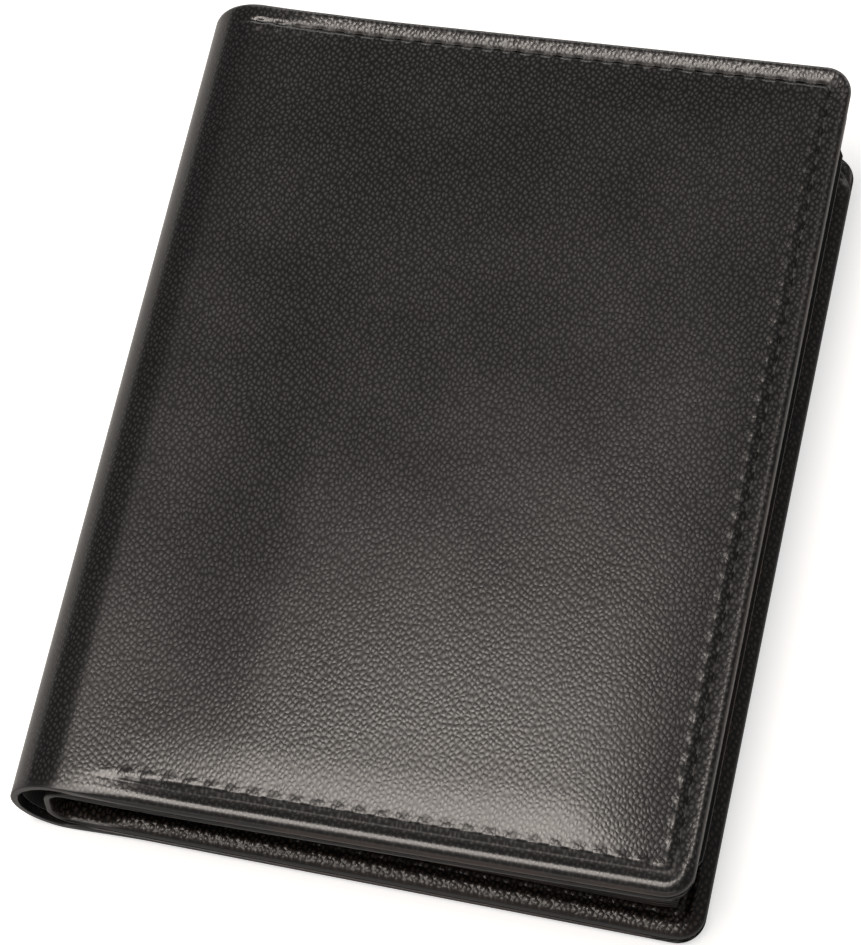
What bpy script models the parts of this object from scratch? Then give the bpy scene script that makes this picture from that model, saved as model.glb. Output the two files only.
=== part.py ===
"""Vertical leather wallet, closed, lying on its back cover.

Metres, +Z up. X runs from the spine to the opening side, Y from the bottom edge to the top edge.
The origin is under the middle of the wallet, on the surface that it lies on.
Both leaves are built alike, as layers counted from the outer face inwards. The front leaf is the same
stack turned over, lifted towards the opening side and a little twisted, as a new wallet stands.
"""

import math

import bmesh
import bpy
from mathutils import Matrix, Vector

# Overall size
HEIGHT = 0.125
WIDTH = 0.0958
FRONT_SETBACK = 0.0019
BACK_DROP = 0.0015

# How far the front leaf stands open at its bottom corner, and how much more at its top corner
COVER_GAPE = 0.0054
COVER_TWIST = 0.0049
LIFT_EASE = 0.0195

# Layers of a leaf, from the outer face inwards
SKIN = 0.0009
BOARD = 0.0005
LINING = 0.0002
BILL_WALL = 0.001
CARD_BASE = 0.0005
CARD_SLOT = 0.0005
GAP = 0.0003

# Outlines: the steps run from one start to the next, away from the spine
FOLD_STRAIGHT = 0.0009
WALL_STEP = 0.0035
BASE_STEP = 0.0038
FIRST_LIP_STEP = 0.0047
LIP_STEP = 0.008
TURNED_EDGE = 0.007
CORNER_RADIUS = 0.004
EDGE_ROUND = 0.0006
SHEET_RADIUS = 0.001
LINING_INSET = 0.0012
WALL_DROP = 0.003
POCKET_INSET = 0.0038
FRONT_SLOTS = 2
BACK_SLOTS = 3

# Fold pieces
SPINE_SKIN = 0.001
FOLD_LINING = 0.0003
FOLD_WALL = 0.0006
FOLD_WALL_REACH = 0.0048
FOLD_WALL_RADIUS = 0.0034

# Seams
SEAM_INSET = 0.003
GROOVE_WIDTH = 0.0009
GROOVE_DEPTH = 0.0003
STITCH_PITCH = 0.00295
STITCH_LENGTH = 0.0021
STITCH_RISE = 0.0002
THREAD = 0.0004
THREAD_CLEARANCE = 0.00012

# Swing leaf
SWING_CORE = 0.0005
SWING_PLAY = 0.0001
SWING_INSET = 0.0055
SWING_SETBACK = 0.0016
SWING_LIFT_SHARE = 0.75
SWING_SHEET_STEP = 0.0065
HINGE_STRIP = 0.0005
HINGE_FLANGE = 0.0035
WINDOW_WIDTH = 0.056
WINDOW_HEIGHT = 0.090
WINDOW_RADIUS = 0.003
WINDOW_OVERLAP = 0.003
FILM = 0.0002

# Spans that are cut off again after an outline is shaped
TRIM = 0.02

# The fold is as thick as both leaves with their pockets, and the swing leaf between them
COVER = SKIN + GAP + BOARD
LEAF = COVER + LINING + BILL_WALL + CARD_BASE + 3 * GAP
BACK_STACK = LEAF + BACK_SLOTS * (GAP + CARD_SLOT)
FRONT_STACK = LEAF + FRONT_SLOTS * (GAP + CARD_SLOT)
SWING_STACK = SWING_CORE + FILM + 2 * CARD_SLOT + 3 * GAP
SPINE_THICKNESS = BACK_STACK + SWING_STACK + SWING_PLAY + FRONT_STACK
SWING_LEVEL = BACK_STACK + CARD_SLOT + SWING_CORE / 2

# Starts of the layers, from the spine's outer face
FOLD_WIDTH = SPINE_THICKNESS / 2 + FOLD_STRAIGHT
WALL_START = FOLD_WIDTH + WALL_STEP
BASE_START = WALL_START + BASE_STEP
FIRST_LIP = BASE_START + FIRST_LIP_STEP
SWING_SHEET_START = WALL_START + SWING_SHEET_STEP

LEFT = -WIDTH / 2
BOTTOM = -HEIGHT / 2
TOP = HEIGHT / 2

BLACK_NAPPA = ((0.020, 0.018, 0.017), 0.42)
LINING_BLACK = ((0.012, 0.012, 0.012), 0.85)
PAINTED_EDGE = ((0.045, 0.045, 0.045), 0.5)
BOARD_BROWN = ((0.16, 0.11, 0.07), 0.9)
THREAD_BLACK = ((0.010, 0.010, 0.010), 0.6)
CLEAR_FILM = ((0.75, 0.78, 0.80), 0.1)


def clear_scene():
    for obj in list(bpy.data.objects):
        bpy.data.objects.remove(obj, do_unlink=True)


def make_material(name, finish):
    colour, roughness = finish
    material = bpy.data.materials.new(name)
    material.use_nodes = True
    shader = material.node_tree.nodes["Principled BSDF"]
    shader.inputs["Base Color"].default_value = (*colour, 1.0)
    shader.inputs["Roughness"].default_value = roughness
    shader.inputs["Metallic"].default_value = 0.0
    return material


def new_object(name, mesh, finish):
    obj = bpy.data.objects.new(name, mesh)
    wallet.objects.link(obj)
    mesh.materials.clear()
    mesh.materials.append(make_material(name, finish))
    return obj


def finish_mesh(name, bm, finish):
    """Closes the bmesh as a named object with smooth sides and sharp corners."""
    bmesh.ops.remove_doubles(bm, verts=bm.verts, dist=0.000001)
    bmesh.ops.recalc_face_normals(bm, faces=bm.faces)
    mesh = bpy.data.meshes.new(name)
    bm.to_mesh(mesh)
    bm.free()
    mesh.shade_smooth()
    mesh.set_sharp_from_angle(angle=math.radians(35))
    return new_object(name, mesh, finish)


def ease(share, start):
    """Grows from 0 to 1 with share, with a soft start of that length, then straight."""
    if share <= 0:
        return 0.0
    full = 1 - start / 2
    if share < start:
        return share * share / (2 * start) / full
    return (share - start / 2) / full


def lift(x, y):
    """How far the front leaf stands above its flat place at (x, y)."""
    fold = LEFT + FOLD_WIDTH
    run = WIDTH - FOLD_WIDTH
    rise = COVER_GAPE + COVER_TWIST * (y - BOTTOM) / HEIGHT
    return rise * ease((x - fold) / run, LIFT_EASE / run)


def cut_across(bm, axis, place, clear=None):
    """Cuts all of bm by a plane across the axis, and closes the side that is cleared."""
    point = Vector((0, 0, 0))
    normal = Vector((0, 0, 0))
    point[axis] = place
    normal[axis] = 1
    geometry = bm.verts[:] + bm.edges[:] + bm.faces[:]
    bmesh.ops.bisect_plane(
        bm,
        geom=geometry,
        dist=0.0000001,
        plane_co=point,
        plane_no=normal,
        clear_inner=clear == "below",
        clear_outer=clear == "above",
    )
    if clear:
        rim = [edge for edge in bm.edges if edge.is_boundary]
        bmesh.ops.holes_fill(bm, edges=rim, sides=0)


def lift_cuts():
    """Places of the cuts that let a flat piece follow the lifted and twisted leaf."""
    fold = LEFT + FOLD_WIDTH
    eased = [fold + LIFT_EASE * step / 4 for step in range(1, 5)]
    straight = WIDTH - FOLD_WIDTH - LIFT_EASE
    across = eased + [fold + LIFT_EASE + straight * step / 5 for step in range(1, 5)]
    along = [BOTTOM + HEIGHT * step / 8 for step in range(1, 8)]
    return across, along


def follow_leaf(bm, share):
    """Cuts the piece into cells and lifts its points by a share of the front leaf's lift."""
    across, along = lift_cuts()
    for place in across:
        cut_across(bm, 0, place)
    for place in along:
        cut_across(bm, 1, place)
    for vert in bm.verts:
        vert.co.z += share * lift(vert.co.x, vert.co.y)


def place_on_side(bm, side):
    """Turns a stack piece over for the front leaf and lifts it. The back leaf stays flat."""
    if side == "back":
        return
    for vert in bm.verts:
        vert.co.z = SPINE_THICKNESS - vert.co.z
    bmesh.ops.reverse_faces(bm, faces=bm.faces)
    follow_leaf(bm, 1)


def leaf_edge(side):
    """X of the leaf's opening edge."""
    return LEFT + WIDTH - (FRONT_SETBACK if side == "front" else 0)


def leaf_top(side):
    """Y of the leaf's top edge."""
    return TOP - (BACK_DROP if side == "back" else 0)


def layer(index, slot=0):
    """Lowest and highest level of a layer, counted from the leaf's outer face."""
    thickness = [LINING, BILL_WALL, CARD_BASE] + [CARD_SLOT] * max(FRONT_SLOTS, BACK_SLOTS)
    position = index + slot
    low = COVER + GAP + sum(size + GAP for size in thickness[:position])
    return low, low + thickness[position]


def is_face_up(face):
    return face.normal.z > 0.99


def is_face_down(face):
    return face.normal.z < -0.99


def rounded_slab(x0, x1, y0, y1, z0, z1, radius, round_low, round_high):
    """A slab whose two corners at x1 are rounded in plan, with rolled edges above and below."""
    bm = bmesh.new()
    size = Matrix.Diagonal((x1 - x0, y1 - y0, z1 - z0, 1))
    middle = Matrix.Translation(((x0 + x1) / 2, (y0 + y1) / 2, (z0 + z1) / 2))
    bmesh.ops.create_cube(bm, size=1, matrix=middle @ size)
    corners = []
    for edge in bm.edges:
        a, b = edge.verts
        upright = abs(a.co.z - b.co.z) > (z1 - z0) / 2
        if upright and abs(a.co.x - x1) < 0.00001:
            corners.append(edge)
    bmesh.ops.bevel(bm, geom=corners, offset=radius, segments=6, profile=0.5, affect="EDGES")
    for test, width in ((is_face_down, round_low), (is_face_up, round_high)):
        bm.normal_update()
        face = next(face for face in bm.faces if test(face))
        bmesh.ops.bevel(bm, geom=list(face.edges), offset=width, segments=2, profile=0.5, affect="EDGES")
    bm.normal_update()
    return bm


def press_groove(bm, face, rolled):
    """Presses the seam's groove into a face, at SEAM_INSET from the outline."""
    steps = (
        (SEAM_INSET - rolled - GROOVE_WIDTH / 2, 0),
        (GROOVE_WIDTH / 3, -GROOVE_DEPTH),
        (GROOVE_WIDTH / 3, 0),
        (GROOVE_WIDTH / 3, GROOVE_DEPTH),
    )
    for width, depth in steps:
        bmesh.ops.inset_region(bm, faces=[face], thickness=width, depth=depth, use_even_offset=True)


def make_cover(side):
    """Outer leather of a leaf: edges turned in over a shallow tray for the board."""
    edge = leaf_edge(side)
    top = leaf_top(side)
    fold = LEFT + FOLD_WIDTH + GAP / 2
    bm = rounded_slab(fold - TRIM, edge, BOTTOM, top, 0, COVER, CORNER_RADIUS, EDGE_ROUND, EDGE_ROUND)
    face = max((f for f in bm.faces if is_face_down(f)), key=lambda f: f.calc_area())
    press_groove(bm, face, EDGE_ROUND)
    cut_across(bm, 0, edge - TURNED_EDGE)
    cut_across(bm, 1, BOTTOM + TURNED_EDGE)
    cut_across(bm, 1, top - TURNED_EDGE)
    cut_across(bm, 0, fold, clear="below")
    bm.normal_update()
    tray = []
    for f in bm.faces:
        middle = f.calc_center_median()
        between = BOTTOM + TURNED_EDGE < middle.y < top - TURNED_EDGE
        if is_face_up(f) and between and middle.x < edge - TURNED_EDGE:
            tray.append(f)
    made = bmesh.ops.extrude_face_region(bm, geom=tray)
    moved = [item for item in made["geom"] if isinstance(item, bmesh.types.BMVert)]
    bmesh.ops.translate(bm, verts=moved, vec=(0, 0, -(GAP + BOARD)))
    bmesh.ops.delete(bm, geom=[f for f in tray if f.is_valid], context="FACES")
    open_side = [f for f in bm.faces if all(abs(v.co.x - fold) < 0.0000005 for v in f.verts)]
    bmesh.ops.delete(bm, geom=open_side, context="FACES")
    bmesh.ops.remove_doubles(bm, verts=bm.verts, dist=0.0000005)
    rim = [e for e in bm.edges if e.is_boundary]
    bmesh.ops.holes_fill(bm, edges=rim, sides=0)
    place_on_side(bm, side)
    return finish_mesh(side + "_cover", bm, BLACK_NAPPA)


def rounded_outline(x0, x1, y0, y1, low_radius, high_radius):
    """Points round a rectangle, anticlockwise, with one radius at each end of X."""
    points = []
    corners = (
        (x0, y0, low_radius, 180),
        (x1, y0, high_radius, 270),
        (x1, y1, high_radius, 0),
        (x0, y1, low_radius, 90),
    )
    middle_x = (x0 + x1) / 2
    middle_y = (y0 + y1) / 2
    for x, y, radius, start in corners:
        centre_x = x + math.copysign(radius, middle_x - x)
        centre_y = y + math.copysign(radius, middle_y - y)
        steps = 5 if radius > 0 else 0
        for step in range(steps + 1):
            angle = math.radians(start + (90 * step / steps if steps else 0))
            points.append((centre_x + radius * math.cos(angle), centre_y + radius * math.sin(angle)))
    return points


def mesh_of_curve(curve):
    """The evaluated curve as a bmesh with welded caps."""
    guide = bpy.data.objects.new("guide", curve)
    wallet.objects.link(guide)
    shape = guide.evaluated_get(bpy.context.evaluated_depsgraph_get())
    mesh = bpy.data.meshes.new_from_object(shape)
    bm = bmesh.new()
    bm.from_mesh(mesh)
    bpy.data.objects.remove(guide)
    bpy.data.meshes.remove(mesh)
    bmesh.ops.remove_doubles(bm, verts=bm.verts, dist=0.000001)
    return bm


def flat_sheet(outlines, z0, z1):
    """A sheet between two levels, cut to its outlines: the first is outside, the rest are holes."""
    curve = bpy.data.curves.new("outline", "CURVE")
    curve.dimensions = "2D"
    curve.fill_mode = "BOTH"
    curve.extrude = (z1 - z0) / 2
    for outline in outlines:
        spline = curve.splines.new("POLY")
        spline.points.add(len(outline) - 1)
        for point, (x, y) in zip(spline.points, outline):
            point.co = (x, y, 0, 1)
        spline.use_cyclic_u = True
    bm = mesh_of_curve(curve)
    bmesh.ops.translate(bm, verts=bm.verts, vec=(0, 0, (z0 + z1) / 2))
    return bm


def make_sheet(side, name, x0, x1, y0, y1, levels, radius, finish):
    """A flat layer of one leaf."""
    bm = flat_sheet([rounded_outline(x0, x1, y0, y1, 0, radius)], *levels)
    place_on_side(bm, side)
    return finish_mesh(name, bm, finish)


def make_board(side):
    """Stiffener in the cover's tray."""
    inset = TURNED_EDGE + GAP
    levels = (SKIN + GAP, SKIN + GAP + BOARD)
    start = LEFT + FOLD_WIDTH + GAP
    end = leaf_edge(side) - inset
    low = BOTTOM + inset
    high = leaf_top(side) - inset
    make_sheet(side, side + "_board", start, end, low, high, levels, SHEET_RADIUS, BOARD_BROWN)


def make_lining(side):
    """Textile lining of the bill compartment, on the inside of the cover."""
    start = LEFT + FOLD_WIDTH + GAP / 2
    end = leaf_edge(side) - LINING_INSET
    low = BOTTOM + LINING_INSET
    high = leaf_top(side) - LINING_INSET
    radius = CORNER_RADIUS - LINING_INSET
    make_sheet(side, side + "_lining", start, end, low, high, layer(0), radius, LINING_BLACK)


def make_bill_wall(side):
    """Inner wall of the bill compartment, sewn to the cover along the bottom and the opening side."""
    start = LEFT + WALL_START + GAP / 2
    end = leaf_edge(side)
    high = leaf_top(side) - WALL_DROP
    rolled = BILL_WALL / 3
    bm = rounded_slab(start - TRIM, end, BOTTOM, high + TRIM, *layer(1), CORNER_RADIUS, rolled, rolled)
    face = max((f for f in bm.faces if is_face_up(f)), key=lambda f: f.calc_area())
    press_groove(bm, face, rolled)
    cut_across(bm, 0, start, clear="below")
    cut_across(bm, 1, high, clear="above")
    place_on_side(bm, side)
    return finish_mesh("bill_wall_" + side, bm, PAINTED_EDGE)


def pocket_span(side):
    """X of the pockets' closed end, and their bottom and top."""
    end = leaf_edge(side) - POCKET_INSET
    return end, BOTTOM + POCKET_INSET, leaf_top(side) - WALL_DROP - POCKET_INSET


def make_card_base(side):
    """Sheet behind the card slots."""
    end, low, high = pocket_span(side)
    name = side + "_card_base"
    make_sheet(side, name, LEFT + BASE_START, end, low, high, layer(2), SHEET_RADIUS, BLACK_NAPPA)


def make_card_slot(side, number):
    """A card slot that opens towards the spine, one step behind the one below it."""
    end, low, high = pocket_span(side)
    lip = LEFT + FIRST_LIP + LIP_STEP * (number - 1)
    name = side + "_card_slot_" + str(number)
    make_sheet(side, name, lip, end, low, high, layer(2, number), SHEET_RADIUS, BLACK_NAPPA)


def seam_corners(side, outside):
    """Corners (x, y) of a leaf's seam: bottom, opening side and, where the seam has one, top."""
    start = LEFT + WALL_START + GAP
    end = leaf_edge(side) - SEAM_INSET
    low = BOTTOM + SEAM_INSET
    if outside:
        high = leaf_top(side) - SEAM_INSET
        return [(start, low), (end, low), (end, high), (start, high)]
    return [(start, low), (end, low), (end, leaf_top(side) - WALL_DROP - STITCH_PITCH)]


def stitch_points(corners, level):
    """Points of a thread that lies on the leather for each stitch and dips between stitches."""
    points = []
    for (x0, y0), (x1, y1) in zip(corners, corners[1:]):
        length = math.hypot(x1 - x0, y1 - y0)
        count = round(length / STITCH_PITCH)
        pitch = length / count
        bare = 1 - STITCH_LENGTH / STITCH_PITCH
        for number in range(count):
            for share, rise in ((0, 0), (bare, STITCH_RISE), (1 - bare, STITCH_RISE)):
                along = (number + share) * pitch / length
                points.append((x0 + (x1 - x0) * along, y0 + (y1 - y0) * along, level + rise))
    points.append((*corners[-1], level))
    return points


def make_stitching(side):
    """Thread in the groove: outside on the front leaf, inside on the back leaf."""
    outside = side == "front"
    if outside:
        level = SPINE_THICKNESS - GROOVE_DEPTH + THREAD_CLEARANCE + THREAD / 2
    else:
        level = layer(1)[1] - GROOVE_DEPTH + THREAD_CLEARANCE + THREAD / 2
    points = stitch_points(seam_corners(side, outside), level)
    curve = bpy.data.curves.new("thread", "CURVE")
    curve.dimensions = "3D"
    curve.bevel_depth = THREAD / 2
    curve.bevel_resolution = 0
    curve.use_fill_caps = True
    spline = curve.splines.new("POLY")
    spline.points.add(len(points) - 1)
    for point, (x, y, z) in zip(spline.points, points):
        rise = lift(x, y) if outside else 0
        point.co = (x, y, z + rise, 1)
    bm = mesh_of_curve(curve)
    return finish_mesh(side + "_stitching", bm, THREAD_BLACK)


def fold_path(end, level, reach, radius):
    """Points (x, z) of a strip round the fold, from the back leaf to the front leaf."""
    points = [(end, level), ((end + reach + radius) / 2, level)]
    for middle_z, start in ((level + radius, 270), (SPINE_THICKNESS - level - radius, 180)):
        for step in range(9):
            angle = math.radians(start - 90 * step / 8)
            points.append((reach + radius + radius * math.cos(angle), middle_z + radius * math.sin(angle)))
    points += [((end + reach + radius) / 2, SPINE_THICKNESS - level), (end, SPINE_THICKNESS - level)]
    return points


def make_fold_strip(name, end, level, reach, radius, thickness, low, top_inset, finish):
    """A strip bent round the fold: an open surface on its outer face, thickened inwards.

    Its top edge slopes from the back leaf's top edge to the front leaf's.
    """
    bm = bmesh.new()
    rows = 8
    grid = []
    for row in range(rows + 1):
        line = []
        for x, z in fold_path(end, level, reach, radius):
            slope = (z - level) / (SPINE_THICKNESS - 2 * level)
            high = leaf_top("back") + BACK_DROP * slope - top_inset
            y = low + (high - low) * row / rows
            rise = lift(LEFT + x, y) if z > SPINE_THICKNESS / 2 else 0
            line.append(bm.verts.new((LEFT + x, y, z + rise)))
        grid.append(line)
    for row in range(rows):
        for column in range(len(grid[0]) - 1):
            corners = (
                grid[row][column],
                grid[row][column + 1],
                grid[row + 1][column + 1],
                grid[row + 1][column],
            )
            if (corners[0].co - corners[1].co).length > 0.0000005:
                bm.faces.new(corners)
    bmesh.ops.remove_doubles(bm, verts=bm.verts, dist=0.0000005)
    mesh = bpy.data.meshes.new(name)
    bm.to_mesh(mesh)
    bm.free()
    mesh.shade_smooth()
    obj = new_object(name, mesh, finish)
    shell = obj.modifiers.new("thickness", "SOLIDIFY")
    shell.thickness = thickness
    shell.offset = -1
    shell.use_even_offset = True
    return obj


def make_spine():
    """The fold: outer leather, its textile lining and the wall of the bill compartment."""
    end = FOLD_WIDTH - GAP / 2
    half = SPINE_THICKNESS / 2
    make_fold_strip("spine_leather", end, 0, 0, half, SPINE_SKIN, BOTTOM, 0, BLACK_NAPPA)
    level = SPINE_SKIN + GAP
    low = BOTTOM + LINING_INSET
    shape = (end, level, level, half - level, FOLD_LINING)
    make_fold_strip("spine_lining", *shape, low, LINING_INSET, LINING_BLACK)
    wall_end = WALL_START - GAP / 2
    shape = (wall_end, layer(1)[0], FOLD_WALL_REACH, FOLD_WALL_RADIUS, FOLD_WALL)
    make_fold_strip("bill_wall_fold", *shape, BOTTOM, WALL_DROP, PAINTED_EDGE)


def make_swing_hinge():
    """Leather strip sewn to the back leaf's bill wall; its upright edge carries the swing leaf."""
    low = BOTTOM + SWING_INSET
    high = leaf_top("back") - WALL_DROP - SEAM_INSET
    start = LEFT + WALL_START + GAP
    base = layer(2)[0]
    upright = SWING_LEVEL - SWING_CORE / 2 - GAP - base
    bm = bmesh.new()
    size = Matrix.Diagonal((HINGE_FLANGE, high - low, HINGE_STRIP, 1))
    middle = Matrix.Translation((start + HINGE_FLANGE / 2, (low + high) / 2, base + HINGE_STRIP / 2))
    bmesh.ops.create_cube(bm, size=1, matrix=middle @ size)
    cut_across(bm, 0, start + HINGE_STRIP)
    bm.normal_update()
    root = [f for f in bm.faces if is_face_up(f) and f.calc_center_median().x < start + HINGE_STRIP]
    made = bmesh.ops.extrude_face_region(bm, geom=root)
    moved = [item for item in made["geom"] if isinstance(item, bmesh.types.BMVert)]
    bmesh.ops.translate(bm, verts=moved, vec=(0, 0, upright - HINGE_STRIP))
    bmesh.ops.delete(bm, geom=[f for f in root if f.is_valid], context="FACES")
    return finish_mesh("swing_hinge_strip", bm, BLACK_NAPPA)


def make_swing_sheet(name, outlines, z0, z1, finish):
    """A layer of the swing leaf, lifted like the front leaf above it."""
    bm = flat_sheet(outlines, SWING_LEVEL + z0, SWING_LEVEL + z1)
    follow_leaf(bm, SWING_LIFT_SHARE)
    return finish_mesh(name, bm, finish)


def make_swing_leaf():
    """Loose middle leaf: a core with a card slot below it and a window above it."""
    start = LEFT + WALL_START + GAP + HINGE_STRIP / 2
    end = LEFT + WIDTH - SWING_SETBACK
    low = BOTTOM + SWING_INSET
    high = TOP - SWING_INSET
    half = SWING_CORE / 2
    core = rounded_outline(start, end, low, high, 0, CORNER_RADIUS)
    make_swing_sheet("swing_core", [core], -half, half, BLACK_NAPPA)

    sheet_end = end - LINING_INSET
    sheet_low = low + LINING_INSET
    sheet_high = high - LINING_INSET
    radius = CORNER_RADIUS - LINING_INSET
    sheet_start = LEFT + SWING_SHEET_START
    slot = rounded_outline(sheet_start, sheet_end, sheet_low, sheet_high, 0, radius)
    make_swing_sheet("swing_card_slot", [slot], -half - GAP - CARD_SLOT, -half - GAP, BLACK_NAPPA)

    middle_x = (sheet_start + sheet_end) / 2
    reach_x = WINDOW_WIDTH / 2
    reach_y = WINDOW_HEIGHT / 2
    window = rounded_outline(
        middle_x - reach_x, middle_x + reach_x, -reach_y, reach_y, WINDOW_RADIUS, WINDOW_RADIUS
    )
    film_low = half + GAP
    frame_low = film_low + FILM + GAP
    make_swing_sheet("swing_window_frame", [slot, window], frame_low, frame_low + CARD_SLOT, BLACK_NAPPA)
    reach_x += WINDOW_OVERLAP
    reach_y += WINDOW_OVERLAP
    film = rounded_outline(
        middle_x - reach_x, middle_x + reach_x, -reach_y, reach_y, SHEET_RADIUS, SHEET_RADIUS
    )
    make_swing_sheet("swing_window_film", [film], film_low, film_low + FILM, CLEAR_FILM)


clear_scene()
wallet = bpy.data.collections.new("vertical_wallet")
bpy.context.scene.collection.children.link(wallet)

for leaf, slots in (("back", BACK_SLOTS), ("front", FRONT_SLOTS)):
    make_cover(leaf)
    make_board(leaf)
    make_lining(leaf)
    make_bill_wall(leaf)
    make_card_base(leaf)
    for slot_number in range(1, slots + 1):
        make_card_slot(leaf, slot_number)
    make_stitching(leaf)
make_spine()
make_swing_hinge()
make_swing_leaf()

for part in wallet.objects:
    print(part.name, [round(size * 1000, 2) for size in part.dimensions])
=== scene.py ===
# %% [markdown]
# # A vertical leather wallet
# A vertical wallet is two soft leather leaves on one fold. Each leaf is a small stack: the outer leather
# turned in round a board, a textile lining, the wall of the bill compartment, and card slots.
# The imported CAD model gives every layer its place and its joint. This lesson gives each layer its looks.

# %% The frame
import math

import bpy
import numpy as np
from mathutils import Matrix, Vector


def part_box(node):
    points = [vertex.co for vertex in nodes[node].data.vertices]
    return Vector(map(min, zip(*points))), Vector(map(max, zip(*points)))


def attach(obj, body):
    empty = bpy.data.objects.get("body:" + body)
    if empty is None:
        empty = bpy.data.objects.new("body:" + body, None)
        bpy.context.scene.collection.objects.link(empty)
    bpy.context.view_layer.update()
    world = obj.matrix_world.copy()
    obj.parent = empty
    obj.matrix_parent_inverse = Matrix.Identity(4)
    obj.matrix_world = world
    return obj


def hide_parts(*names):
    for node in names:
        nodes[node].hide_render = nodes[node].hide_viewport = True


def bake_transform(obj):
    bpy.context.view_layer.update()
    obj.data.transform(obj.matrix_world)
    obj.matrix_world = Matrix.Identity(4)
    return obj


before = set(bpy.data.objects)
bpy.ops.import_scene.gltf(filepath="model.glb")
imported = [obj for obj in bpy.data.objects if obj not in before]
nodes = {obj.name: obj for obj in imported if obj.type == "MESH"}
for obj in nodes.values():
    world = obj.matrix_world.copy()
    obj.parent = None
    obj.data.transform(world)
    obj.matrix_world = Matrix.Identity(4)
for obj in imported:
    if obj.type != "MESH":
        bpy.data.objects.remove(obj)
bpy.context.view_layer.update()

# %% [markdown]
# ## The wallet's own measures
# The outline is read off the CAD nodes, so the looks always fit the solids. What can't be read off a box,
# such as how softly the front leaf starts to lift, is written here once, in metres.

# %% Measures
MM = 0.001

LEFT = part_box("spine_leather")[0].x
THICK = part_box("spine_leather")[1].z
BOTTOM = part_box("front_cover")[0].y
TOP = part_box("front_cover")[1].y
BACK_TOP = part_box("back_cover")[1].y
HEIGHT = TOP - BOTTOM
EDGE = {side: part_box(side + "_cover")[1].x - LEFT for side in ("front", "back")}
LEAF_TOP = {"front": TOP, "back": BACK_TOP}
WIDTH = EDGE["back"]

GAPE = 5.4 * MM  # the front leaf's lift at its bottom corner
TWIST = 4.9 * MM  # how much more the top corner lifts
FOLD_WIDTH = THICK / 2 + 0.9 * MM
EASE = 19.5 * MM  # over this length the leaf bends up, and from there it is straight
SWING_SHARE = 0.75

SKIN = 0.9 * MM
SPINE_SKIN = 1.0 * MM
COVER = 1.7 * MM
TURNED = 7.0 * MM
CORNER = 4.0 * MM
GAP = 0.3 * MM
SEAM = 3.0 * MM
PITCH = 2.95 * MM

LINING_LEVEL = COVER + GAP
WALL_LEVEL = 2.5 * MM
WALL = 1.0 * MM
WALL_DROP = 3.0 * MM
WALL_START = FOLD_WIDTH + 3.5 * MM
LOOP_REACH = 4.8 * MM
LOOP_RADIUS = 3.4 * MM
SLOT = 0.5 * MM
SWING_CORE = 0.5 * MM
SWING_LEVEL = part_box("swing_hinge_strip")[1].z + GAP + SWING_CORE / 2
print("wallet", [round(size / MM, 1) for size in (WIDTH, HEIGHT, THICK)], "mm")

# %% [markdown]
# ## Sewn flat, then folded
# A wallet is cut and sewn flat, and only then folded. The pieces here are made the same way: each one is
# shaped as a flat panel, with x as the distance from the middle of the fold, y along the wallet and z as
# the height over the layer's outer side. One function then lays the flat piece round the fold and onto its
# leaf. It could be done with a Curve or a Lattice modifier, but a function bends every layer by the same
# rule as the CAD, to the last tenth of a millimetre.


# %% Bending rules
def smooth(share):
    """0 below 0, 1 above 1, and a soft rise between."""
    share = np.clip(share, 0, 1)
    return share * share * (3 - 2 * share)


def lift(x, y):
    """How far the front leaf stands open over a point."""
    run = WIDTH - FOLD_WIDTH
    start = EASE / run
    share = np.clip((x - LEFT - FOLD_WIDTH) / run, 0, None)
    eased = np.where(share < start, share * share / (2 * start), share - start / 2) / (1 - start / 2)
    return (GAPE + TWIST * (y - BOTTOM) / HEIGHT) * eased


def fold_section(u, level, reach, radius):
    """Place and outward direction, in section, of a layer at the distance u from the fold's middle."""
    upright = THICK / 2 - level - radius
    turn = np.clip((u - upright) / radius, 0, math.pi / 2)
    x = LEFT + reach + radius * (1 - np.cos(turn)) + np.maximum(u - upright - radius * math.pi / 2, 0)
    z = THICK / 2 + np.minimum(u, upright) + radius * np.sin(turn)
    return x, z, -np.cos(turn), np.sin(turn)


def fold_length(level, reach, radius):
    """What to add to a distance from the spine to get the distance from the fold's middle."""
    return THICK / 2 - level - radius + radius * math.pi / 2 - reach - radius


def laid(points, leaf, level, bend=None, settle=0.0):
    """Flat points (u, y, height) as points in the row frame."""
    u, y, high = points[:, 0], points[:, 1], points[:, 2]
    if bend:
        x, z, out_x, out_z = fold_section(u, level, *bend)
        z = z - settle * smooth((x - LEFT - bend[0] - bend[1]) / (3 * MM))
    else:
        x, z, out_x, out_z = LEFT + u, np.full_like(u, THICK - level), 0.0, 1.0
    near_leaf = np.clip((z - THICK / 2) / (THICK / 2 - level), 0, 1)
    x = x + out_x * high
    z = z + out_z * high
    slope = (TOP - BACK_TOP) / 2 * (1 - near_leaf) * (y - BOTTOM) / HEIGHT
    if leaf == "swing":
        return np.stack([x, y, SWING_LEVEL + high + SWING_SHARE * lift(x, y)], 1)
    if leaf == "back":
        return np.stack([x, y + slope, THICK - z], 1)
    return np.stack([x, y - slope, z + lift(x, y)], 1)


print("front leaf lifts", [round(float(lift(WIDTH + LEFT, y)) / MM, 2) for y in (BOTTOM, TOP)], "mm")

# %% [markdown]
# ## A panel of leather
# Every layer is a panel with two faces and an edge all round. A panel starts as two primitive grids, one
# for each face, whose lines stand close together where the leather bends sharply: at the edges and beside
# the seams. The corners are rounded by pulling the grid's square corner in to a quarter circle, which keeps
# the lines parallel to the edge, and `bridge_edge_loops` closes the edge between the two faces.


# %% Panel helpers
def deselect():
    if bpy.context.object and bpy.context.object.mode != "OBJECT":
        bpy.ops.object.mode_set(mode="OBJECT")
    bpy.ops.object.select_all(action="DESELECT")


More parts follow.
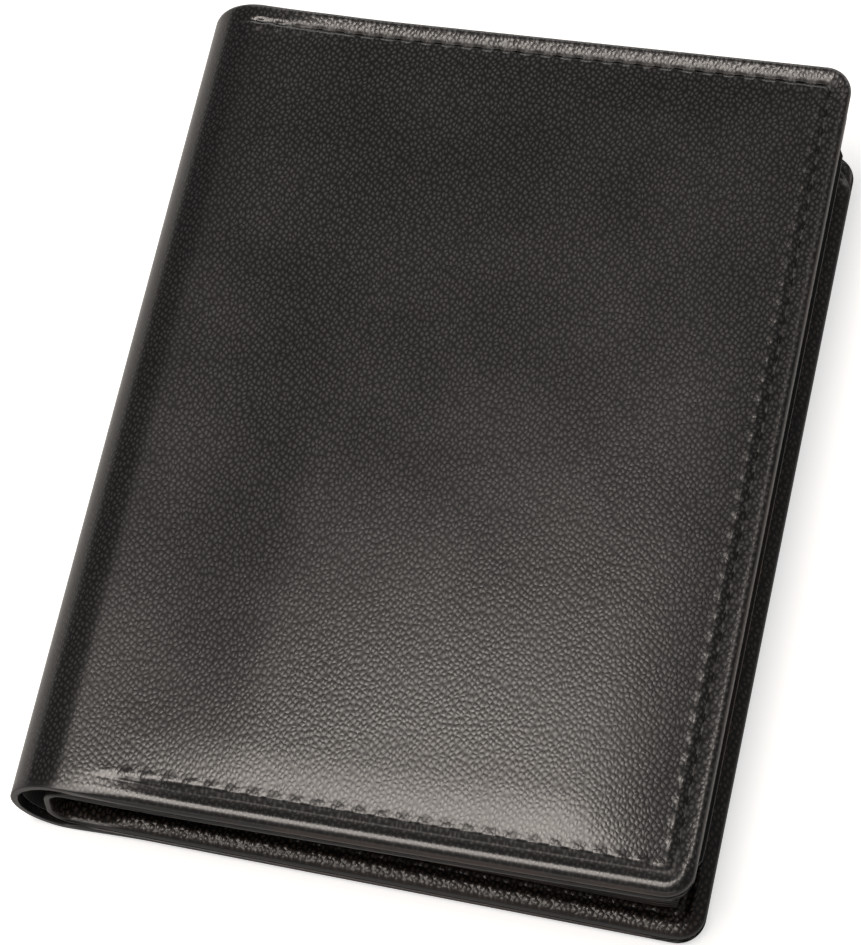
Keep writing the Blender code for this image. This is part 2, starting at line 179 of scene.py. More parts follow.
def pick(*objects):
    """Selects the objects and makes the first one active."""
    deselect()
    for obj in objects:
        obj.select_set(True)
    bpy.context.view_layer.objects.active = objects[0]


def coordinates(obj):
    co = np.empty(len(obj.data.vertices) * 3)
    obj.data.vertices.foreach_get("co", co)
    return co.reshape(-1, 3)


def set_coordinates(obj, co):
    obj.data.vertices.foreach_set("co", np.asarray(co, float).ravel())
    obj.data.update()


def edge_lines(rolled):
    """Distances of the grid lines from an edge, close together over the rolled part."""
    roll = [rolled * (1 - math.cos(math.radians(angle))) for angle in (12, 26, 40, 54, 68, 80)]
    beyond = [0.8, 1.15, 1.5, 1.85, 2.2, 2.5, 2.7, 2.85, 3.0, 3.15]
    beyond += [3.3, 3.5, 3.8, 4.15, 4.6, 5.1, 5.7, 6.3, 6.75, 7.0]
    return [0.0] + roll + [line * MM for line in beyond if line * MM > rolled * 1.05]


def plain_lines(rolled):
    return [0.0] + [rolled * share for share in (0.1, 0.35, 0.7, 1.0)]


def lines_between(start, end, first, last, step):
    """Grid lines from start to end, with the given distances near each end and even steps between."""
    low = [start + distance for distance in first]
    high = [end - distance for distance in reversed(last)]
    room = high[0] - low[-1]
    count = max(1, round(room / step))
    middle = [low[-1] + room * index / count for index in range(1, count)]
    return np.array(low + middle + high)


def new_grid(name, across, along):
    """A primitive grid whose lines are moved to the given places."""
    deselect()
    bpy.ops.mesh.primitive_grid_add(x_subdivisions=len(across) - 1, y_subdivisions=len(along) - 1, size=1)
    obj = bpy.context.object
    obj.name = name
    co = coordinates(obj)
    column = np.rint((co[:, 0] + 0.5) * (len(across) - 1)).astype(int)
    row = np.rint((co[:, 1] + 0.5) * (len(along) - 1)).astype(int)
    set_coordinates(obj, np.stack([across[column], along[row], np.zeros(len(co))], 1))
    return obj


def joined(objects, name):
    """Several meshes as one object."""
    pick(*objects)
    bpy.ops.object.join()
    obj = bpy.context.object
    obj.name = name
    obj.data.name = name
    return obj


def edit(obj):
    pick(obj)
    bpy.ops.object.mode_set(mode="EDIT")


def leave_edit():
    bpy.ops.object.mode_set(mode="OBJECT")


def face_outwards(obj):
    edit(obj)
    bpy.ops.mesh.select_all(action="SELECT")
    bpy.ops.mesh.normals_make_consistent(inside=False)
    leave_edit()


def put_attribute(obj, name, values):
    layer = obj.data.attributes.get(name) or obj.data.attributes.new(name, "FLOAT", "POINT")
    layer.data.foreach_set("value", np.asarray(values, np.float32))


def put_flat_map(obj):
    """A UV map in metres: where each corner of the mesh lay before the piece was folded."""
    co = coordinates(obj)
    corners = np.empty(len(obj.data.loops), int)
    obj.data.loops.foreach_get("vertex_index", corners)
    layer = obj.data.uv_layers.get("flat") or obj.data.uv_layers.new(name="flat")
    layer.uv.foreach_set("vector", co[corners, :2].astype(np.float32).ravel())
    obj.data.uv_layers.active = layer


def corner_pull(across, up):
    """Factor that draws a point of a square corner in to a quarter circle."""
    length = np.maximum(np.hypot(across, up), 1e-12)
    return np.where((across > 0) & (up > 0), np.maximum(across, up) / length, 1.0)


class Outline:
    """A panel's flat outline: start, end, bottom and top, and whether its start is a free edge."""

    def __init__(self, start, end, low, high, radius=0.0, start_free=False):
        self.start, self.end, self.low, self.high = start, end, low, high
        self.radius = radius
        self.start_free = start_free

    def distance(self, u, y):
        """Distance of a point of the grid from the nearest free edge."""
        found = np.minimum(self.end - u, np.minimum(y - self.low, self.high - y))
        return np.minimum(found, u - self.start) if self.start_free else found

    def rounded(self, u, y):
        """Pulls the square corners at the opening side in to quarter circles."""
        radius = self.radius
        across = np.maximum(u - (self.end - radius), 0)
        up = np.maximum(y - (self.high - radius), 0) - np.maximum(self.low + radius - y, 0)
        pull = corner_pull(across, np.abs(up))
        return u + across * (pull - 1), y + up * (pull - 1)


def grid_lines(outline, first, hem, across, along):
    """Lines of a face's grid: its own at the start, hem lines on the other sides, and two steps."""
    return (
        lines_between(outline.start, outline.end, first, hem, across),
        lines_between(outline.low, outline.high, hem, hem, along),
    )


def boxed_outline(node, radius=0.0):
    """The flat outline of a CAD node, free on all four sides."""
    low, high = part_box(node)
    return Outline(low.x - LEFT, high.x - LEFT, low.y, high.y, radius, start_free=True)


def panel(name, outline, outer, inner, outer_lines, inner_lines):
    """A closed panel. outer and inner give the height of each face from u, y and edge distance."""
    faces = []
    for label, lines, shape in (("outer", outer_lines, outer), ("inner", inner_lines, inner)):
        grid = new_grid(name + "_" + label, *lines)
        co = coordinates(grid)
        away = outline.distance(co[:, 0], co[:, 1])
        height = shape(co[:, 0], co[:, 1], away)
        u, y = outline.rounded(co[:, 0], co[:, 1])
        set_coordinates(grid, np.stack([u, y, height], 1))
        put_attribute(grid, "edge", away / MM)
        put_attribute(grid, "inside", np.full(len(co), float(label == "inner")))
        faces.append(grid)
    obj = joined(faces, name)
    edit(obj)
    bpy.ops.mesh.select_mode(type="EDGE")
    bpy.ops.mesh.select_all(action="DESELECT")
    bpy.ops.mesh.select_non_manifold(extend=False, use_wire=False, use_multi_face=False, use_non_contiguous=False)
    bpy.ops.mesh.bridge_edge_loops()
    leave_edit()
    put_flat_map(obj)
    return obj


def finish_faces(obj):
    """Turns the faces outwards and shades them smooth over the rounded edges."""
    face_outwards(obj)
    pick(obj)
    bpy.ops.object.shade_smooth_by_angle(angle=math.radians(42))
    return obj


def lay(obj, leaf, level, bend=None, settle=0.0):
    """Lays a flat piece round the fold and onto its leaf."""
    set_coordinates(obj, laid(coordinates(obj), leaf, level, bend, settle))
    return finish_faces(obj)


# %% [markdown]
# ## Seams press into leather
# A lockstitch pulls the leather down at each needle hole, so the strip beside a seam isn't a plain groove:
# it puffs up between the holes on both sides. The photo shows this as a scalloped shadow. The groove and
# its puffs are heights added to the panel's face, at the seam's distance from the edge and with the
# thread's pitch.


# %% Seam heights
GROOVE_DEPTH = 0.3 * MM


def seam_phase(outline, u, y, start):
    """Position along the seam, counted in stitches: whole numbers are needle holes."""
    low, high, end = outline.low + SEAM, outline.high - SEAM, outline.end - SEAM
    count_across = np.rint((end - start) / PITCH)
    count_along = np.rint((high - low) / PITCH)
    across = (u - start) / (end - start) * count_across
    along = (y - low) / (high - low) * count_along
    to_side = outline.end - u
    to_row = np.minimum(y - outline.low, outline.high - y)
    return np.where(to_side < to_row, along, across)


def needle_holes(outline, u, y, start):
    """1 at each needle hole and 0 between two holes."""
    return (0.5 + 0.5 * np.cos(2 * math.pi * seam_phase(outline, u, y, start))) ** 1.3


def seam_height(outline, u, y, away, start, puff=0.13 * MM, top=True):
    """Groove and puffs of a seam round the bottom, the opening side and the top."""
    hole = needle_holes(outline, u, y, start)
    off = (away - SEAM) / MM
    groove = -GROOVE_DEPTH * np.exp(-((off / 0.34) ** 2)) * (1 - 0.6 * hole)
    outside = 0.4 * puff * np.exp(-(((off + 0.85) / 0.5) ** 2)) * (1 - hole)
    inside = puff * np.exp(-(((off - 0.85) / 0.55) ** 2)) * (1 - hole)
    above = smooth((y - outline.low - 2 * MM) / (7 * MM))
    groove, outside = groove * (0.2 + 0.8 * above), outside * above
    shown = smooth((u - start + 4 * MM) / (6 * MM))
    if not top:
        near_top = (outline.high - y < outline.end - u) & (outline.high - y < 6 * MM)
        shown = np.where(near_top, 0.0, shown)
    return (groove + outside + inside) * shown


def roll(away, radius, drop):
    """Quarter ellipse down to the edge."""
    share = np.clip(1 - away / radius, 0, 1)
    return -drop * (1 - np.sqrt(1 - share * share))


print("stitches up the side:", round((HEIGHT - 2 * SEAM) / PITCH))

# %% [markdown]
# ## The outer leather
# One piece of nappa covers the wallet from edge to edge. It is made in two halves, front and back, that meet
# in the middle of the spine. The front cover is padded: it is full in the middle and falls to the seams. The
# back cover lies on the table, pressed flat. Outside the seam the leather swells up to a crest and rolls under,
# because it is skived thin there and turned in. The bottom edge is the roundest. Inside the turned edge the
# leather leaves a shallow tray for the board.

# %% Outer leather
OUTER_BEND = (0.0, THICK / 2)
OUTER_EXTRA = fold_length(0.0, *OUTER_BEND)
SEAM_START = {"bottom": 14.5 * MM, "top": 6.0 * MM}
SWELL = {"front": 0.7 * MM, "back": 0.0}
BULGE = {"front": 0.7 * MM, "back": 0.0}
BULGE_MIDDLE, BULGE_REACH = 0.55, 0.45  # as shares of the width
FULLNESS = {"front": 1.0, "back": 0.15}
ROUNDING = {"side": (1.4 * MM, 20 * MM), "bottom": (0.55 * MM, 12 * MM), "top": (0.85 * MM, 12 * MM)}
VALLEY = 0.32 * MM
CREST = 0.85 * MM
CREST_DROP = 0.14 * MM
RIM_DROP = 1.28 * MM


def leaf_share(u, first=-3.0, last=11.0):
    """0 on the fold and 1 on the leaf."""
    return smooth((u - OUTER_EXTRA - FOLD_WIDTH - first * MM) / ((last - first) * MM))


def padded_form(side, outline, u, y):
    """Height of the padded cover: full in the middle and rounded off to the seams."""
    reach = {"side": outline.end - u, "bottom": y - outline.low, "top": outline.high - y}
    near = {key: 1 - np.clip(reach[key] / width, 0, 1) for key, (drop, width) in ROUNDING.items()}
    rounded = np.sqrt(sum((drop * near[key] ** 2) ** 2 for key, (drop, width) in ROUNDING.items()))
    inland = (1 - near["side"]) * (1 - np.maximum(near["bottom"], near["top"]))
    x = u - OUTER_EXTRA
    wave = np.sin(x / (11 * MM) + 1.7 * np.sin(y / (17 * MM))) + np.sin(y / (13 * MM) + 2 * x / (31 * MM))
    middle = (outline.low + outline.high) / 2
    along = (y - middle) / (outline.high - middle)
    across = (x / WIDTH - BULGE_MIDDLE).clip(-0.5, BULGE_REACH) / BULGE_REACH
    form = SWELL[side] + BULGE[side] * (1 - along**2) * (1 - across**2)
    return (form + FULLNESS[side] * (0.03 * MM * wave * inland - rounded)) * leaf_share(u, -3, 24)


def seam_start(u, y):
    return np.where(y > 0, SEAM_START["top"], SEAM_START["bottom"]) + OUTER_EXTRA


def valley(low):
    """Depth of the seam below the crest: less where low is 1, along the bottom edge."""
    return VALLEY * (1 - 0.35 * low)


def edge_roll(away, low):
    """Height of the rolled edge: up from the seam to its crest, and round down to the rim."""
    crest = CREST + 0.7 * MM * low
    rise = -CREST_DROP - valley(low) * smooth((away - crest) / (SEAM - 0.1 * MM - crest))
    fall = -CREST_DROP + roll(away, crest, RIM_DROP)
    return np.where(away > crest, rise, fall)


def skin_outer(outline, side):
    def shape(u, y, away):
        on_leaf = leaf_share(u)
        start = seam_start(u, y)
        sunk = smooth((u - start + 8 * MM) / (26 * MM))
        panel_side = 1 - sunk * (1 - smooth((away - SEAM) / ((0.9 + 0.6 * (1 - sunk)) * MM)))
        low = smooth((outline.low + 7 * MM - y) / (3 * MM))
        pressed = (CREST_DROP + valley(low)) * (1 - panel_side) * on_leaf
        cover = padded_form(side, outline, u, y) * panel_side - pressed
        band = edge_roll(away, low) * on_leaf
        band = band + (cover - band) * (1 - sunk) * smooth((away - CREST) / (SEAM - CREST))
        form = np.where(away > SEAM, cover, band)
        at_top = smooth((y - outline.high + 5 * MM) / (2 * MM))
        cut = roll(away, 0.14 * MM, 0.14 * MM) * (1 - at_top) + roll(away, 0.9 * MM, 0.8 * MM) * at_top
        height = form + cut * (1 - on_leaf) + seam_height(outline, u, y, away, start)
        return np.minimum(height, 0) if side == "back" else height

    return shape


def skin_inner(outline, side):
    def shape(u, y, away):
        x = u - OUTER_EXTRA
        on_leaf = smooth((x - FOLD_WIDTH + 1.5 * MM) / (2.5 * MM))
        tray = smooth((away - TURNED + 0.25 * MM) / (0.25 * MM))
        full = COVER + (SKIN - COVER) * tray
        depth = SPINE_SKIN + (full - SPINE_SKIN) * on_leaf
        return tray * on_leaf * padded_form(side, outline, u, y) - depth - roll(away, 0.3 * MM, 0.25 * MM) * on_leaf

    return shape


def make_skin(side):
    outline = Outline(0.0, EDGE[side] + OUTER_EXTRA, BOTTOM, LEAF_TOP[side], CORNER)
    step = 0.5 * MM
    arc = THICK / 2 * math.pi / 2
    bends = [arc * index / 30 for index in range(30)]
    fine = edge_lines(0.55 * MM)
    coarse_edge = [0.0, 0.1 * MM, 0.3 * MM, TURNED - 0.3 * MM, TURNED]
    coarse_bends = [arc * index / 12 for index in range(13)]
    obj = panel(
        side + "_skin",
        outline,
        skin_outer(outline, side),
        skin_inner(outline, side),
        grid_lines(outline, bends, fine, step, step),
        grid_lines(outline, coarse_bends, coarse_edge, 2 * MM, 3 * MM),
    )
    flat = coordinates(obj)
    u, y = flat[:, 0], flat[:, 1]
    on_leaf = leaf_share(u)
    away = outline.distance(u, y)
    sewn = smooth((u - seam_start(u, y) + 4 * MM) / (14 * MM))
    band = smooth((2.9 * MM - away) / (0.5 * MM)) * on_leaf
    low_band = band * smooth((BOTTOM + 5 * MM - y) / (1.5 * MM)) * sewn
    top_band = band * smooth((y - outline.high + 6 * MM) / (2 * MM))
    put_attribute(obj, "cut", 1 - leaf_share(u, -2, 5))
    put_attribute(obj, "groove", np.exp(-(((away - SEAM) / (0.6 * MM)) ** 2)) * on_leaf * sewn)
    # The grain attribute sets how strongly the grain shows. It also moves the colour: on the bottom band and the
    # fold it goes towards the crease shade, which is painted shade there, and on the top band it goes lighter,
    # which is painted light.
    strength = (1 - 0.45 * low_band) * (1 + 1.4 * top_band)
    put_attribute(obj, "grain", strength * (0.55 + 0.45 * leaf_share(u, -6, 3)))
    flat[:, 1] -= 0.5 * MM * (1 - on_leaf) * smooth((y - TOP + 30 * MM) / (30 * MM))
    set_coordinates(obj, flat)
    lay(obj, side, 0.0, OUTER_BEND)
    return obj


skins = {side: make_skin(side) for side in ("front", "back")}
for side, skin in skins.items():
    print(skin.name, len(skin.data.polygons), "faces")
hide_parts("front_cover", "spine_leather")
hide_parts("back_cover")
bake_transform(skins["front"])
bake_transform(skins["back"])

# %% [markdown]
# ## The textile lining
# The bill compartment is lined with thin black cloth, cut a little smaller than the leather and sewn in with
# it. It is a thin panel with the same fold, a little further in. It could be left flat, but real lining is
# never quite tight, so it gets shallow waves.

# %% Lining
LINING_INSET = 1.2 * MM
LINING = 0.2 * MM
LINING_FOLD_LEVEL = SPINE_SKIN + GAP
LINING_BEND = (LINING_FOLD_LEVEL, THICK / 2 - LINING_FOLD_LEVEL)
LINING_EXTRA = fold_length(LINING_FOLD_LEVEL, *LINING_BEND)


def lining_wave(u, y, away):
    return 0.06 * MM * np.sin(u / (7 * MM) + np.sin(y / (9 * MM))) * smooth((away - 2 * MM) / (5 * MM))


def make_lining(side):
    end = EDGE[side] - LINING_INSET + LINING_EXTRA
    outline = Outline(0.0, end, BOTTOM + LINING_INSET, LEAF_TOP[side] - LINING_INSET, CORNER - LINING_INSET)
    arc = LINING_BEND[1] * math.pi / 2
    bends = [arc * index / 14 for index in range(15)]
    hem = [0.0, 0.5 * MM, 1.5 * MM]
    lines = grid_lines(outline, bends, hem, 2.2 * MM, 2.2 * MM)
    obj = panel(
        side + "_textile_lining",
        outline,
        lining_wave,
        lambda u, y, away: lining_wave(u, y, away) - LINING,
        lines,
        lines,
    )
    lay(obj, side, LINING_FOLD_LEVEL, LINING_BEND, LINING_LEVEL - LINING_FOLD_LEVEL)
    return obj


linings = {side: make_lining(side) for side in ("front", "back")}
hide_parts("front_lining", "spine_lining")
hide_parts("back_lining")
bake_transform(linings["front"])
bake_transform(linings["back"])
print("lining of", [round(size / MM, 1) for size in linings["front"].dimensions], "mm")

# %% [markdown]
# ## The wall of the bill compartment
# The inner wall is firm leather whose cut edges are painted, so the edge shows as a smooth grey line in the
# photo. It runs from one leaf to the other as a loose loop inside the spine. The seam that holds cover and
# wall together shows on its inner side too.

# %% Bill compartment's wall
LOOP_BEND = (LOOP_REACH, LOOP_RADIUS)
LOOP_EXTRA = fold_length(WALL_LEVEL, *LOOP_BEND)
WALL_SEAM_START = WALL_START + 2.4 * MM + LOOP_EXTRA
WALL_CREST = 2.2 * MM  # distance of the sewn ridge from the edge


def make_wall(side):
    outline = Outline(0.0, EDGE[side] + LOOP_EXTRA, BOTTOM, LEAF_TOP[side] - WALL_DROP, CORNER)

    def inner(u, y, away):
        flat = smooth((u - WALL_SEAM_START + 2 * MM) / (4 * MM))
        thick = WALL - 0.15 * MM * (1 - flat)
        sewn = np.minimum(outline.end - u, y - outline.low)
        before = 1 - (1 - sewn / WALL_CREST).clip(0, 1) ** 2
        beyond = np.exp(-(((sewn - WALL_CREST) / (0.5 * MM)) ** 2))
        ridge = 0.4 * MM * np.where(sewn < WALL_CREST, before, beyond)
        ridge = (ridge - 0.25 * MM * (sewn < WALL_CREST) * (1 - sewn / WALL_CREST)) * flat
        seam = seam_height(outline, u, y, away, WALL_SEAM_START, puff=0.12 * MM, top=False)
        return -thick - ridge - roll(away, 0.4 * MM, 0.4 * MM) - seam

    step = 0.65 * MM
    upright = THICK / 2 - WALL_LEVEL - LOOP_RADIUS
    arc = LOOP_RADIUS * math.pi / 2
    bends = [0.0, upright / 2] + [upright + arc * index / 16 for index in range(17)]
    fine = edge_lines(0.28 * MM)
    coarse = plain_lines(0.28 * MM)
    inner_lines = grid_lines(outline, bends, fine, step, step)
    outer_lines = grid_lines(outline, bends, coarse, 2.5 * MM, 3 * MM)
    obj = panel(
        side + "_bill_wall",
        outline,
        lambda u, y, away: roll(away, 0.28 * MM, 0.3 * MM),
        inner,
        outer_lines,
        inner_lines,
    )
    put_attribute(obj, "cut", np.ones(len(obj.data.vertices)))
    return lay(obj, side, WALL_LEVEL, LOOP_BEND)


walls = {side: make_wall(side) for side in ("front", "back")}
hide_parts("bill_wall_front", "bill_wall_fold")
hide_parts("bill_wall_back")
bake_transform(walls["front"])
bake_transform(walls["back"])
print([(wall.name, len(wall.data.polygons)) for wall in walls.values()])

# %% [markdown]
# ## Card slots
# Each slot is a strip of the same nappa, open towards the spine, with its lip turned over. It is a thin
# panel that grows thicker towards the lip, with a pressed line beside it.

# %% Card base and slots
SHEET_EDGE = 0.16 * MM
SHEET_STEP = 3 * MM
LIP_TURN = 4.0 * MM
LIP_LINE = 1.6 * MM
LIP_LINES = [MM * at for at in (0, 0.02, 0.06, 0.11, 0.16, 0.6, 1.2, 1.4, 1.6, 1.8, 2, 3, 3.9, 4.3, 4.8)]


def hem_roll(away, thick):
    """A thin sheet's cut edge, nearly half round."""
    return roll(away, SHEET_EDGE, thick / 2 - 0.02 * MM)


def make_leaf_sheet(name, side, node, level, thick, lip):
    outline = boxed_outline(node, 1 * MM)

    def outer(u, y, away):
        return hem_roll(away, thick)

    def inner(u, y, away):
        height = -thick - hem_roll(away, thick)
        if lip:
            from_lip = u - outline.start
            height = height - 0.12 * MM * (1 - smooth((from_lip - LIP_TURN) / (0.8 * MM)))
            height = height + 0.1 * MM * np.exp(-(((from_lip - LIP_LINE) / (0.22 * MM)) ** 2))
        return height

    lines = grid_lines(outline, LIP_LINES, plain_lines(SHEET_EDGE), SHEET_STEP, SHEET_STEP)
    obj = panel(name, outline, outer, inner, lines, lines)
    lay(obj, side, level)
    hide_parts(node)
    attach(obj, side + "_leaf")
    return obj


BASE_LEVEL = WALL_LEVEL + WALL + GAP
inner_sheets = []
for side, slots in (("back", 3), ("front", 2)):
    inner_sheets.append(make_leaf_sheet(side + "_card_sheet", side, side + "_card_base", BASE_LEVEL, SLOT, False))
    for number in range(1, slots + 1):
        level = BASE_LEVEL + (SLOT + GAP) * number
        inner_sheets.append(
            make_leaf_sheet(f"{side}_slot_{number}", side, f"{side}_card_slot_{number}", level, SLOT, True)
        )
print(len(inner_sheets), "inner sheets")

# %% [markdown]
# ## The swing leaf
# The loose middle leaf is a leather core with a card slot below and a framed window of clear film above. The
# frame is a flat ring, so it starts as a torus: the way round the torus becomes the way round the window, and
# the way round its tube becomes the section of the frame. The film waves a little, as thin plastic does, so
# that it catches the light.

# %% Swing leaf
FILM = 0.2 * MM
WINDOW = (56 * MM, 90 * MM)
WINDOW_CORNER = 3 * MM
FRAME_LINE = 1.5 * MM
swing_parts = []


def make_swing_sheet(name, node, height, thick, radius, wave=0.0):
    outline = boxed_outline(node, radius)
    hem = plain_lines(SHEET_EDGE)
    lines = grid_lines(outline, hem, hem, SHEET_STEP, SHEET_STEP)

    def under(u, y):
        slow = np.sin(y / (11 * MM) - u / (23 * MM))
        return height + wave * np.sin(u / (9 * MM) + 1.2 * np.sin(y / (14 * MM))) * slow

    obj = panel(
        name,
        outline,
        lambda u, y, away: under(u, y) + thick + hem_roll(away, thick),
        lambda u, y, away: under(u, y) - hem_roll(away, thick),
        lines,
        lines,
    )
    lay(obj, "swing", 0.0)
    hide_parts(node)
    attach(obj, "swing_leaf")
    return obj


for name, cad_name, height, thick, radius in (
    ("swing_leaf_core", "swing_core", -SWING_CORE / 2, SWING_CORE, CORNER),
    ("swing_leaf_slot", "swing_card_slot", -SWING_CORE / 2 - GAP - SLOT, SLOT, CORNER - LINING_INSET),
):
    swing_parts.append(make_swing_sheet(name, cad_name, height, thick, radius))


def rounded_ring(angle, middle, reach, radius):
    """Point of a rounded rectangle's outline in the direction of the angle from its middle."""
    direction = np.stack([np.cos(angle), np.sin(angle)], 1)
    scale = np.min(np.array(reach) / np.maximum(np.abs(direction), 1e-9), axis=1)
    point = direction * scale[:, None]
    inner_reach = np.array(reach) - radius
    over = np.maximum(np.abs(point) - inner_reach, 0)
    moved = np.abs(point) + over * (corner_pull(*over.T)[:, None] - 1)
    return np.array(middle) + np.sign(point) * moved


def make_window_frame():
    low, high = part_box("swing_window_frame")
    middle = ((low.x + high.x) / 2 - LEFT, (low.y + high.y) / 2)
    deselect()
    bpy.ops.mesh.primitive_torus_add(major_segments=240, minor_segments=40, major_radius=1, minor_radius=0.25)
    obj = bpy.context.object
    obj.name = "swing_window_border"
    co = coordinates(obj)
    angle = np.arctan2(co[:, 1], co[:, 0])
    tube = np.arctan2(co[:, 2], np.hypot(co[:, 0], co[:, 1]) - 1)
    outer = rounded_ring(angle, middle, ((high.x - low.x) / 2, (high.y - low.y) / 2), CORNER - LINING_INSET)
    inner = rounded_ring(angle, middle, (WINDOW[0] / 2, WINDOW[1] / 2), WINDOW_CORNER)
    share = 0.5 + 0.5 * np.sign(np.cos(tube)) * np.abs(np.cos(tube)) ** 0.8
    at = inner + (outer - inner) * share[:, None]
    width = np.hypot(*(outer - inner).T)
    away = np.minimum(share, 1 - share) * width
    upper = np.sin(tube) >= 0
    half = SLOT / 2
    swell = half + roll(away, SHEET_EDGE, half)
    height = SWING_CORE / 2 + GAP + FILM + GAP + half + np.where(upper, swell, -swell)
    pressed_line = 0.09 * MM * np.exp(-(((share * width - FRAME_LINE) / (0.25 * MM)) ** 2))
    height = height - np.where(upper, pressed_line, 0)
    set_coordinates(obj, np.stack([at[:, 0], at[:, 1], height], 1))
    put_attribute(obj, "edge", away / MM)
    put_flat_map(obj)
    lay(obj, "swing", 0.0)
    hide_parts("swing_window_frame")
    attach(obj, "swing_leaf")
    return obj


swing_parts.append(make_window_frame())
film_level = SWING_CORE / 2 + GAP
window_film = make_swing_sheet("swing_leaf_film", "swing_window_film", film_level, FILM, CORNER, wave=0.08 * MM)
print([part.name for part in swing_parts], window_film.name)

# %% [markdown]
# ## The swing leaf's hinge
# The swing leaf hangs on a narrow strip of leather that is sewn to the back leaf's wall and turns up at the
# fold. It is cut flat, so it is made as a flat panel too, and then bent round a small corner. An extruded
# angle would give the same section, but with a sharp bend that leather doesn't take.

# %% Hinge strip
HINGE_BEND = 0.7 * MM


def make_hinge_strip():
    low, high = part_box("swing_hinge_strip")
    upright = high.z - low.z - HINGE_BEND
    arc = HINGE_BEND * math.pi / 2
    outline = Outline(0.0, upright + arc + high.x - low.x - HINGE_BEND, low.y, high.y, start_free=True)
    hem = plain_lines(SHEET_EDGE)
    bends = hem + [upright + arc * index / 8 for index in range(9)]
    lines = grid_lines(outline, bends, hem, 0.5 * MM, SHEET_STEP)
    obj = panel(
        "swing_leaf_hinge",
        outline,
        lambda u, y, away: SLOT + hem_roll(away, SLOT),
        lambda u, y, away: -hem_roll(away, SLOT),
        lines,
        lines,
    )
    u, y, height = coordinates(obj).T
    turn = np.clip((u - upright) / HINGE_BEND, 0, math.pi / 2)
    x = low.x + HINGE_BEND * (1 - np.cos(turn)) + np.maximum(u - upright - arc, 0) + height * np.cos(turn)
    z = high.z - np.minimum(u, upright) - HINGE_BEND * np.sin(turn) + height * np.sin(turn)
    set_coordinates(obj, np.stack([x, y, z], 1))
    finish_faces(obj)
    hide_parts("swing_hinge_strip")
    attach(obj, "back_leaf")
    return obj


hinge_strip = make_hinge_strip()
print(hinge_strip.name, len(hinge_strip.data.polygons), "faces")

# %% [markdown]
# ## Stitches
# The seams are sewn in black thread of about 0.35 mm. One stitch is modelled, from a small sphere that is
# drawn out to a thread's length and bent down at both ends, where it goes into the leather. It is then
# copied along each seam, in the flat, and laid on with the same rule as the leather under it. The inner
# seams' copies stay round, and those on the outer leather lie flat at the bottom of their groove.

# %% One stitch
deselect()
bpy.ops.mesh.primitive_uv_sphere_add(segments=8, ring_count=7, radius=1)
stitch = bpy.context.object
edit(stitch)
bpy.ops.mesh.select_all(action="SELECT")
bpy.ops.transform.rotate(value=math.pi / 2, orient_axis="Y", center_override=(0, 0, 0))
leave_edit()
one = coordinates(stitch)
one_faces = [list(face.vertices) for face in stitch.data.polygons]
bpy.data.objects.remove(stitch, do_unlink=True)
STITCH_LENGTH = 1.9 * MM
THREAD = 0.34 * MM
one[:, 0] = np.sign(one[:, 0]) * np.abs(one[:, 0]) ** 0.75 * STITCH_LENGTH / 2
one[:, 1] *= THREAD / 2
one[:, 2] *= THREAD / 2
one[:, 2] -= 0.2 * MM * np.abs(one[:, 0] / (STITCH_LENGTH / 2)) ** 3
print("one stitch:", len(one_faces), "faces")


# %% Rows of stitches
def row_of(start, end, count):
    """Middle and direction of each stitch between two points of the flat panel."""
    start, end = np.array(start), np.array(end)
    way = end - start
    unit = way / np.linalg.norm(way)
    return [(start + way * (index + 0.5) / count, unit) for index in range(count)]


def sew(name, rows, height, leaf, level, bend=None, settle=0.0, flip=1, seed=3):
    """Copies of the stitch along flat rows, laid on the leaf, as one object."""
    chance = np.random.default_rng(seed)
    points, faces = [], []
    for middle, unit in rows:
        turn = chance.normal(0, 0.05)
        cos, sin = math.cos(turn), math.sin(turn)
        along = np.array([unit[0] * cos - unit[1] * sin, unit[0] * sin + unit[1] * cos])
        across = np.array([-along[1], along[0]])
        size = 1 + chance.normal(0, 0.04)
        shift = chance.normal(0, 0.03 * MM)
        flat = middle + one[:, :1] * size * along + (one[:, 1:2] + shift) * across
        up = (height(flat) if callable(height) else height) + flip * one[:, 2]
        faces += [[index + len(points) * len(one) for index in face] for face in one_faces]
        points.append(np.column_stack([flat, up]))
    mesh = bpy.data.meshes.new(name)
    mesh.from_pydata(laid(np.concatenate(points), leaf, level, bend, settle).tolist(), [], faces)
    obj = bpy.data.objects.new(name, mesh)
    bpy.context.scene.collection.objects.link(obj)
    face_outwards(obj)
    for face in mesh.polygons:
        face.use_smooth = True
    return obj


def leaf_rows(outline, bottom_start, top_start):
    """Stitches along the bottom, the opening side and, if it has a start, the top."""
    low, high, end = outline.low + SEAM, outline.high - SEAM, outline.end - SEAM
    rows = row_of((bottom_start, low), (end, low), round((end - bottom_start) / PITCH))
    up_the_side = row_of((end, low), (end, high), round((high - low) / PITCH))
    if top_start is None:
        return rows + up_the_side[:-1]
    return rows + up_the_side + row_of((end, high), (top_start, high), round((end - top_start) / PITCH))


def groove_bottom(flat):
    """Where the thread lies in the outer leather's groove.

    The heights come as a column, so each stitch takes the height of its first point all over and lies flat.
    Given as flat[:, 0], without the colon, they would keep it round.
    """
    return -(CREST_DROP + VALLEY) * leaf_share(flat[:, :1]) - 0.1 * MM


